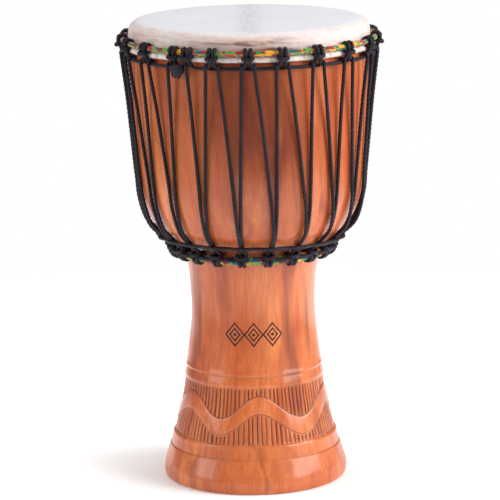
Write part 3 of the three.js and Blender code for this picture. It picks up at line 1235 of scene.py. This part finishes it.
@dataclass
class Sleeve:
    """A strip of printed cotton wound round a hoop, each turn lapping the one before."""

    hoop: Hoop
    cloth: float
    turns: int
    shift: float
    print_step: float = 0.381966  # how much of the print each turn moves on by
    print_width: float = 0.16  # how much of the print shows across a turn
    lap: float = 0.34
    crease: float = 0.09
    rows: int = 24
    per_turn: int = 12

    def build(self, material: bpy.types.Material) -> bpy.types.Object:
        """Builds the sleeve: its radius is a sawtooth along the winding, with soft creases.

        Args:
            material: The printed cloth.

        Returns:
            The piece.
        """
        angle, azimuth = self.hoop.section(self.rows, self.turns * self.per_turn)
        wound = azimuth / 360.0 * self.turns + angle / 360.0
        winding, turn = wound % 1.0, np.floor(wound + 1e-9)
        lap = self.lap * smoothstep(0.0, 0.92, winding) * (1 - smoothstep(0.94, 1.0, winding))
        crease = self.crease * waves(SEED + 11, azimuth, angle * 0.9, (70, 150), 120.0)
        bar = self.cloth - self.lap + lap + crease
        surface = Surface(f"djembe_{self.hoop.node}_wrap")
        dye = (turn + self.shift) * self.print_step % 1.0 + self.print_width * winding
        numbers = surface.add_grid(self.hoop.torus(angle, azimuth, bar), {"dye": dye})
        surface.add_quads(numbers, np.linspace(0, 1, self.rows + 1), closed=True)
        return surface.build(Slot.CLOTH, material, f"{self.hoop.node}_wrap")


# ---------------------------------------------------------------------------------------------
# Ropes


@dataclass
class Cord:
    """One length of braided cord along stations (x, y, z, share of the full radius)."""

    name: str
    node: str
    stations: Array
    radius: float
    step: float = 1.2
    sides: int = 12
    plait: float = 0.11
    rows_per_plait: int = 4
    plaits_round: int = 3

    def build(self, material: bpy.types.Material) -> bpy.types.Object:
        """Sweeps the section along the smooth line and rounds both ends off.

        The surface is R(1 + p w), where w is the cosine of how far along the cord a point is less
        how far round it is, so that three strands rise and wind along it. Frames don't twist.

        Args:
            material: The braid.

        Returns:
            The piece.
        """
        line = evenly(catmull(self.stations, 14), self.step)
        points, squeeze = line[:, :3], line[:, 3]
        rows = len(points)
        across, up = self._frames(points)
        i, j = np.arange(rows)[:, None], np.arange(self.sides)[None, :]
        angle = 2 * np.pi * j / self.sides
        along_it, round_it = 2 * np.pi * i / self.rows_per_plait, self.plaits_round * angle
        plaited = np.cos(along_it - round_it)
        end = np.minimum(np.arange(rows), np.arange(rows)[::-1]) * self.step / self.radius
        rounded = np.sqrt(np.clip(1 - (1 - np.clip(end + 0.25, 0, 1)) ** 2, 0, 1))[:, None]
        reach = self.radius * squeeze[:, None] * rounded * (1 + self.plait * plaited)
        ring = across[:, None] * np.cos(angle)[..., None] + up[:, None] * np.sin(angle)[..., None]
        surface = Surface(self.name)
        numbers = surface.add_grid(points[:, None] + ring * reach[..., None], {"raised": (plaited + 1) / 2})
        along = np.arange(rows) * self.step * UV_PER_MM
        surface.add_quads(numbers, along)
        surface.add_pole(numbers[0], points[0], along[0], True)
        surface.add_pole(numbers[-1], points[-1], along[-1], False)
        length = np.linalg.norm(np.diff(points, axis=0), axis=1).sum()
        log.info("%s: %.0f mm of cord", self.name, length)
        return surface.build(Slot.ROPE, material, self.node)

    @staticmethod
    def _frames(points: Array) -> tuple[Array, Array]:
        """Two unit vectors across the line at each point, which don't twist along it.

        A first pair is made from the axis that is least along the line. What it turns by from one
        point to the next, over the least turn of the tangent, is summed and taken out again.

        Args:
            points: (n, 3) points of the line.

        Returns:
            The two sets of (n, 3) vectors.
        """
        tangent = np.gradient(points, axis=0)
        tangent /= np.linalg.norm(tangent, axis=1)[:, None]
        axis = np.eye(3)[np.abs(tangent).argmin(axis=1)]
        first = np.cross(tangent, axis)
        first /= np.linalg.norm(first, axis=1)[:, None]
        second = np.cross(tangent, first)
        both = tangent[:-1] + tangent[1:]
        lean = (tangent[1:] * first[:-1]).sum(1) / (1 + (tangent[1:] * tangent[:-1]).sum(1))
        carried = first[:-1] - lean[:, None] * both
        turn = np.arctan2((carried * second[1:]).sum(1), (carried * first[1:]).sum(1))
        total = np.concatenate([[0.0], np.cumsum(turn)])[:, None]
        return (
            first * np.cos(total) + second * np.sin(total),
            second * np.cos(total) - first * np.sin(total),
        )


@dataclass
class Rigging:
    """The four ropes and the knot: where every loop and leg of them goes."""

    finish: BraidedCord = BraidedCord()
    loops: int = 21
    first_knot: float = -1.2
    tie_off: int = 19
    tie_off_hitches: tuple[float, float] = (-1.9, 5.2)
    tie_off_spread: float = 4.9
    leg_spread: float = 2.85
    leg_pair: float = 0.6
    cradle: float = 2.35
    lace: float = 2.25
    crown_cord: tuple[float, float] = (160.3, 557.9)
    # How far each crown knot was set from its even place by hand, in degrees.
    knot_shifts: tuple[float, ...] = (
        0.5, -1.5, -1.7, -1.3, 0.0, 0.7, 1.2, 0.4, -0.8, -1.1, 0.2, 0.9, -0.3, -1.0, 0.6, 1.3, 0.1,
        -0.9, -0.4, 2.1, 1.8,
    )
    # A crown hitch, from the scallop on its left to its middle: (mm across, radius, height, squeeze).
    crown_hitch: Stations = (
        (-9.6, 160.4, 557.9, 1.0), (-6.4, 161.0, 558.8, 1.0), (-4.0, 162.6, 562.2, 1.04),
        (-2.4, 164.2, 567.0, 1.08), (-2.6, 165.8, 571.8, 1.12), (-3.0, 167.3, 575.8, 1.16),
        (-3.3, 166.3, 579.6, 1.16), (-3.4, 162.4, 581.6, 1.08), (-3.6, 158.6, 580.8, 0.8),
        (-3.9, 156.8, 578.0, 0.6), (-4.3, 156.7, 575.0, 0.5), (-5.0, 159.4, 572.6, 0.45),
        (-5.9, 163.6, 571.3, 0.8), (-5.9, 167.2, 570.8, 1.05), (-3.9, 169.2, 570.0, 1.12),
        (-1.8, 169.8, 569.6, 1.12),
    )
    # A bottom hitch, the same way up side down: down the front of the ring, up behind it, and over.
    bottom_hitch: Stations = (
        (-8.4, 107.4, 305.2, 1.08), (-6.2, 107.9, 305.4, 1.1), (-3.9, 108.6, 304.4, 1.12),
        (-2.7, 106.8, 300.6, 1.12), (-2.7, 103.2, 297.4, 1.05), (-2.7, 99.5, 296.4, 0.9),
        (-3.0, 94.4, 298.4, 0.85), (-3.4, 92.2, 303.0, 0.85), (-3.8, 94.0, 308.0, 0.85),
        (-4.4, 98.6, 310.6, 0.9), (-5.6, 104.4, 310.8, 1.05), (-5.2, 108.8, 309.6, 1.12),
        (-2.4, 110.6, 308.2, 1.12),
    )
    # A leg of the lacing down to the weave: (radius, height).
    leg: Stations = (
        (157.7, 500.0), (153.2, 452.0), (148.8, 404.0), (144.2, 370.0), (134.0, 341.0), (121.6, 327.6),
    )
    # Then fanned out behind the bottom cord: (degrees aside, radius, height, squeeze).
    foot_of_leg: Stations = (
        (0.45, 114.8, 320.8, 1.0), (1.1, 111.2, 316.8, 1.0), (2.2, 108.4, 313.6, 1.0),
        (2.2, 105.6, 311.6, 0.85), (0.9, 102.4, 311.4, 0.75),
    )
    join_height: float = 344.0
    overlap: float = 1.2
    slack: float = 0.25  # degrees that a leg bows aside
    # The V's lean from halfway between the knots, and its sway: (degrees, degrees, waves, phase).
    sway: tuple[float, float, int, float] = (3.8, 1.6, 3, 0.5)
    bottom_turn: float = 0.9  # degrees from a V back to the hitch under it
    arch: tuple[float, float, float] = (107.5, 305.1, 1.1)  # radius, height, squeeze
    hook_squeeze: tuple[float, ...] = (1.0, 1.0, 1.0, 0.95, 0.85, 0.8)
    hook_bite: float = 0.25
    # The weave: its height, its radii over a V and between two, and how it tilts round the drum.
    weave_height: float = 319.5
    weave_radii: tuple[float, float] = (120.6, 118.2)
    weave_half: float = 2.2
    weave_tilt: tuple[float, float] = (3.6, 2.0)
    weave_slope: float = 0.75
    weave_lap: float = 4.0
    coil_turns: int = 5
    coil_per_turn: int = 12
    coil_top: tuple[float, float] = (165.4, 559.0)
    coil_tail: Stations = ((0.3, 162.6, 545.0), (0.0, 162.2, 543.6))

    def knot(self, index: int) -> float:
        """The azimuth of a crown knot.

        Args:
            index: Which knot, counted from the front.

        Returns:
            Degrees.
        """
        return self.first_knot + index * 360.0 / self.loops + self.knot_shifts[index % self.loops]

    def junction(self, index: int) -> float:
        """The azimuth where a V of the lacing comes together.

        Args:
            index: The knot on its left.

        Returns:
            Degrees: halfway to the next knot, leaning on by an amount that sways round the drum.
        """
        lean, reach, count, phase = self.sway
        sway = reach * math.sin(2 * math.pi * count * index / self.loops + phase)
        return self.first_knot + (index + 0.5) * 360.0 / self.loops + lean + sway

    def build(self) -> list[bpy.types.Object]:
        """Builds all the cords in one finish.

        Returns:
            The pieces.
        """
        black = self.finish.material()
        cords = [
            Cord("djembe_crown_cradle_rope", "crown_cradle_rope", self._crown(), self.cradle),
            Cord("djembe_bottom_cradle_rope", "bottom_cradle_rope", self._bottom(), self.cradle),
            Cord("djembe_lacing_rope", "lacing_rope", self._lacing(), self.lace, step=1.5),
            Cord("djembe_weave_rope", "weave_rope", self._weave(), self.lace),
            Cord("djembe_tie_off_knot", "tie_off_knot", self._tie_off(), self.lace),
        ]
        return [cord.build(black) for cord in cords]

    @staticmethod
    def _hitch(azimuth: float, half: Stations, draw: np.random.Generator, wide: float = 1.0) -> Array:
        """A whole hitch, from half of it and its mirror image, each one a little different.

        Args:
            azimuth: The middle of the hitch.
            half: Its stations from the left to the middle.
            draw: Where its small differences come from.
            wide: How much wider than usual it is.

        Returns:
            Stations as (x, y, z, squeeze).
        """
        left = np.array(half)
        whole = np.concatenate([left, left[::-1] * (-1, 1, 1, 1)])
        across = whole[:, 0] * wide * draw.uniform(0.94, 1.06) + draw.uniform(-0.3, 0.3)
        turn = np.degrees(across / np.maximum(whole[:, 1], 1.0))
        lift = draw.uniform(-0.3, 0.3) * (np.abs(whole[:, 0]) < 6)
        placed = polar(azimuth + turn, whole[:, 1], whole[:, 2] + lift)
        return np.concatenate([placed, whole[:, 3:]], axis=1)

    def _crown(self) -> Array:
        """Hitches round the crown ring joined by level scallops; the ends meet in the tie-off.

        Returns:
            Stations as (x, y, z, squeeze).
        """
        draw = np.random.default_rng(SEED + 20)
        radius, height = self.crown_cord
        first, last = self.tie_off_hitches
        middles = [self.knot(self.tie_off + step) for step in range(self.loops + 1)]
        middles[0] += last
        middles[-1] += first
        route = []
        for step, here in enumerate(middles):
            route.append(self._hitch(here, self.crown_hitch, draw, 1.12 if step == 0 else 1.0))
            if step < self.loops:
                halfway = polar((here + middles[step + 1]) / 2, radius + 0.2, height - 0.5)
                route.append(np.concatenate([halfway, [1.0]])[None])
        return np.concatenate(route)

    def _bottom(self) -> Array:
        """Hitches round the bottom ring joined by shallow arches.

        Returns:
            Stations as (x, y, z, squeeze).
        """
        draw = np.random.default_rng(SEED + 21)
        radius, height, squeeze = self.arch
        route = []
        for index in range(self.loops):
            here, following = (self.junction(k) - self.bottom_turn for k in (index, index + 1))
            route.append(self._hitch(here, self.bottom_hitch, draw))
            if index < self.loops - 1:
                arch = polar((here + following) / 2, radius, height + draw.uniform(-0.3, 0.3))
                route.append(np.concatenate([arch, [squeeze]])[None])
        return np.concatenate(route)

    def _leg(self, top: float, junction: float, side: int, draw: np.random.Generator) -> Array:
        """One leg from beside a crown knot down to behind the bottom cord.

        Args:
            top: Azimuth at the crown cord.
            junction: Azimuth of its V.
            side: -1 for the left leg and 1 for the right.
            draw: Where its small slack comes from.

        Returns:
            Stations as (x, y, z, squeeze).
        """
        stations = np.array(self.leg)
        crown = self.crown_cord[1]
        share = np.clip((crown - stations[:, 1]) / (crown - self.join_height), 0, 1)
        slack = np.sin(np.pi * share) * draw.uniform(-self.slack, self.slack)
        azimuth = top + (junction + side * self.leg_pair - top) * share + slack
        lifted = stations[:, 0] + self.overlap * (1 - side) * smoothstep(0.7, 1.0, share)
        beside = polar(azimuth, lifted, stations[:, 1])
        down = np.concatenate([beside, np.ones((len(stations), 1))], axis=1)
        foot = np.array(self.foot_of_leg)
        behind = polar(junction + side * foot[:, 0], foot[:, 1], foot[:, 2])
        return np.concatenate([down, np.concatenate([behind, foot[:, 3:]], axis=1)])

    def _hook(self, azimuth: float) -> Array:
        """Over the crown cord beside a knot: up the outside, over the top and down the inside.

        Args:
            azimuth: Where it hooks over.

        Returns:
            Stations as (x, y, z, squeeze).
        """
        radius, height = self.crown_cord
        angle = np.radians(np.linspace(-25.0, 190.0, len(self.hook_squeeze)))
        reach = self.cradle + self.lace - self.hook_bite
        around = polar(azimuth, radius + reach * np.cos(angle), height + reach * np.sin(angle))
        return np.concatenate([around, np.array(self.hook_squeeze)[:, None]], axis=1)

    def _lacing(self) -> Array:
        """The long cord: down and up each V, and over the crown cord on both sides of each knot.

        Returns:
            Stations as (x, y, z, squeeze).
        """
        draw = np.random.default_rng(SEED + 22)
        route = []
        for step in range(self.loops):
            index = self.tie_off + step
            spread = self.tie_off_spread if step == 0 else self.leg_spread
            arriving = self.tie_off_spread if step == self.loops - 1 else self.leg_spread
            left, right = self.knot(index) + spread, self.knot(index + 1) - arriving
            junction = self.junction(index)
            route += [
                self._hook(left)[::-1],
                self._leg(left, junction, -1, draw),
                self._leg(right, junction, 1, draw)[::-1],
                self._hook(right),
            ]
        return np.concatenate(route)

    def _weave(self) -> Array:
        """One turn round the legs, from the back to the back, where its ends lap.

        Returns:
            Stations as (x, y, z, squeeze).
        """
        route, first = [], self.loops // 2
        over, between = self.weave_radii
        for index in range(first, first + self.loops + 1):
            here, following = self.junction(index), self.junction(index + 1)
            lapped = self.weave_lap if index == first + self.loops else 0.0
            halfway = (here + following) / 2
            spots = (here - self.weave_half, over), (here + self.weave_half, over), (halfway, between)
            for azimuth, radius in spots:
                a = math.radians(azimuth)
                rise = self.weave_tilt[0] * math.cos(a) - self.weave_tilt[1] * math.sin(a)
                spot = polar(azimuth, radius + lapped + rise * self.weave_slope, self.weave_height + rise)
                route.append(np.concatenate([spot, [1.0]]))
        return np.array(route)[:-2]

    def _tie_off(self) -> Array:
        """Turns drawn tight between the last two legs, narrower towards the tail that hangs below.

        The line goes round an upright oval that sinks as it winds. Its half width is about 8 mm for
        most of the way, swells and shrinks by a millimetre, and falls off quickly at the end.

        Returns:
            Stations as (x, y, z, squeeze).
        """
        middle = self.knot(self.tie_off) + 0.1
        radius, height = self.coil_top
        t = np.linspace(0.0, 1.0, self.coil_turns * self.coil_per_turn + 1)
        angle = 2 * np.pi * self.coil_turns * t + 0.6
        wide = 1.4 + 6.8 * np.sqrt(1 - t**2.4) + 1.1 * np.sin(23 * t)
        deep = 3.2 - 1.4 * t
        azimuth = middle + np.degrees(wide * np.cos(angle) / 164.0)
        upright = height - 12.5 * t + 1.6 * np.sin(angle + 0.8)
        coil = polar(azimuth, radius - 1.5 * t + deep * np.sin(angle), upright)
        aside, tail_radius, tail_height = np.array(self.coil_tail).T
        route = np.concatenate([coil, polar(middle + aside, tail_radius, tail_height)])
        return np.concatenate([route, np.ones((len(route), 1))], axis=1)


# ---------------------------------------------------------------------------------------------
# Stage


@dataclass(frozen=True)
class Softbox:
    """A rectangular lamp: its place and size in metres, and its watts."""

    name: str
    place: Triple
    size: tuple[float, float]
    watts: float


@dataclass
class Stage:
    """Camera, lights, backdrop and a pale floor, in metres."""

    distance: float = 4.0
    camera_height: float = 1.1241
    pitch: float = 11.682
    roll: float = 0.874
    lens: float = 226.7
    aside: float = -0.0048
    floor_radius: float = 1.3
    room_light: float = 0.3
    aim: Triple = (0.0, 0.0, 0.32)
    softboxes: tuple[Softbox, ...] = (
        Softbox("left", (-2.03, -0.86, 1.15), (1.1, 1.6), 25.0),
        Softbox("right", (2.07, -0.75, 1.25), (1.8, 1.7), 69.0),
        Softbox("top", (0.1, 0.2, 2.6), (1.6, 1.6), 17.0),
    )
    # How strongly the floor shines: (metres from the middle, strength).
    glow: Stations = ((0.12, 0.12), (0.34, 0.6), (1.0, 0.8))

    def camera(self) -> None:
        """Makes the camera: it looks along +Y and down by the pitch, turned by the roll."""
        data = bpy.data.cameras.new("camera")
        data.lens = self.lens
        data.sensor_width = 36.0
        data.shift_x = self.aside
        data.clip_end = 100.0
        camera = bpy.data.objects.new("camera", data)
        look = Euler((math.radians(90.0 - self.pitch), 0.0, 0.0)).to_matrix()
        roll = Euler((0.0, 0.0, math.radians(-self.roll))).to_matrix()
        camera.rotation_euler = (look @ roll).to_euler()
        camera.location = (0.0, -self.distance, self.camera_height)
        bpy.context.scene.collection.objects.link(camera)
        bpy.context.scene.camera = camera

    def lights(self) -> None:
        """A large soft box on each side, the right one brighter, and a soft one above."""
        for box in self.softboxes:
            data = bpy.data.lights.new(box.name, "AREA")
            data.shape = "RECTANGLE"
            data.size, data.size_y = box.size
            data.energy = box.watts
            lamp = bpy.data.objects.new(box.name, data)
            lamp.location = box.place
            lamp.rotation_euler = (Vector(self.aim) - Vector(box.place)).to_track_quat("-Z", "Y").to_euler()
            bpy.context.scene.collection.objects.link(lamp)

    def room(self) -> None:
        """A white backdrop that lights the drum less than it shines itself."""
        world = bpy.data.worlds.new("room")
        world.use_nodes = True
        nodes, links = world.node_tree.nodes, world.node_tree.links
        seen = nodes.new("ShaderNodeLightPath").outputs["Is Camera Ray"]
        strength = nodes.new("ShaderNodeMapRange")
        strength.inputs["To Min"].default_value = self.room_light
        strength.inputs["To Max"].default_value = 1.0
        links.new(seen, strength.inputs["Value"])
        links.new(strength.outputs["Result"], nodes["Background"].inputs["Strength"])
        nodes["Background"].inputs["Color"].default_value = (1.0, 1.0, 1.0, 1.0)
        bpy.context.scene.world = world
        bpy.context.scene.view_settings.view_transform = "Standard"

    def floor(self) -> None:
        """A pale disc under the foot that glows from just beside the foot outwards: painted light that
        lightens the drum's shadows on it.
        """
        angle = np.linspace(0, 2 * np.pi, 96, endpoint=False)
        rim = np.stack([np.cos(angle), np.sin(angle), 0 * angle], axis=1) * self.floor_radius
        mesh = bpy.data.meshes.new("floor")
        mesh.from_pydata(rim, [], [list(range(len(rim)))])
        floor = bpy.data.objects.new("floor", mesh)
        bpy.context.scene.collection.objects.link(floor)
        g = Graph("floor", 0.9, 0.1)
        x, y, _ = g.split(g.place)
        away = g.math("SQRT", g.math("ADD", g.math("MULTIPLY", x, x), g.math("MULTIPLY", y, y)))
        g.put(g.shader.inputs["Emission Color"], (1.0, 1.0, 1.0, 1.0))
        g.put(g.shader.inputs["Emission Strength"], g.ramp(away, *self.glow))
        faint = g.noise(g.place, 3, 2)
        pale = g.ramp(faint, (0.3, srgb(252, 252, 252)), (0.7, srgb(254, 254, 254)))
        mesh.materials.append(g.finish(pale))


def main() -> None:
    """Builds the stage, then the drum from the wood outwards."""
    logging.basicConfig(level=logging.INFO, format="%(message)s")
    stage = Stage()
    stage.camera()
    stage.lights()
    stage.room()
    stage.floor()
    flesh = Hoop("flesh_ring", 157.4, 568.2, 2.2)
    crown = Hoop.within("crown_ring", "crown_ring_wrap", cloth=3.5, rod=2.2)
    bottom = Hoop.within("bottom_ring", "bottom_ring_wrap", cloth=5.6, rod=3.5)
    for hoop in (flesh, crown, bottom):
        hoop.build(RingSteel())
    Shell().build()
    Drumhead().build(flesh)
    printed = PrintedCloth().material()
    Sleeve(crown, cloth=3.5, turns=62, shift=2.0).build(printed)
    Sleeve(bottom, cloth=5.6, turns=40, shift=5.0).build(printed)
    Rigging().build()


if __name__ == "__main__":
    main()
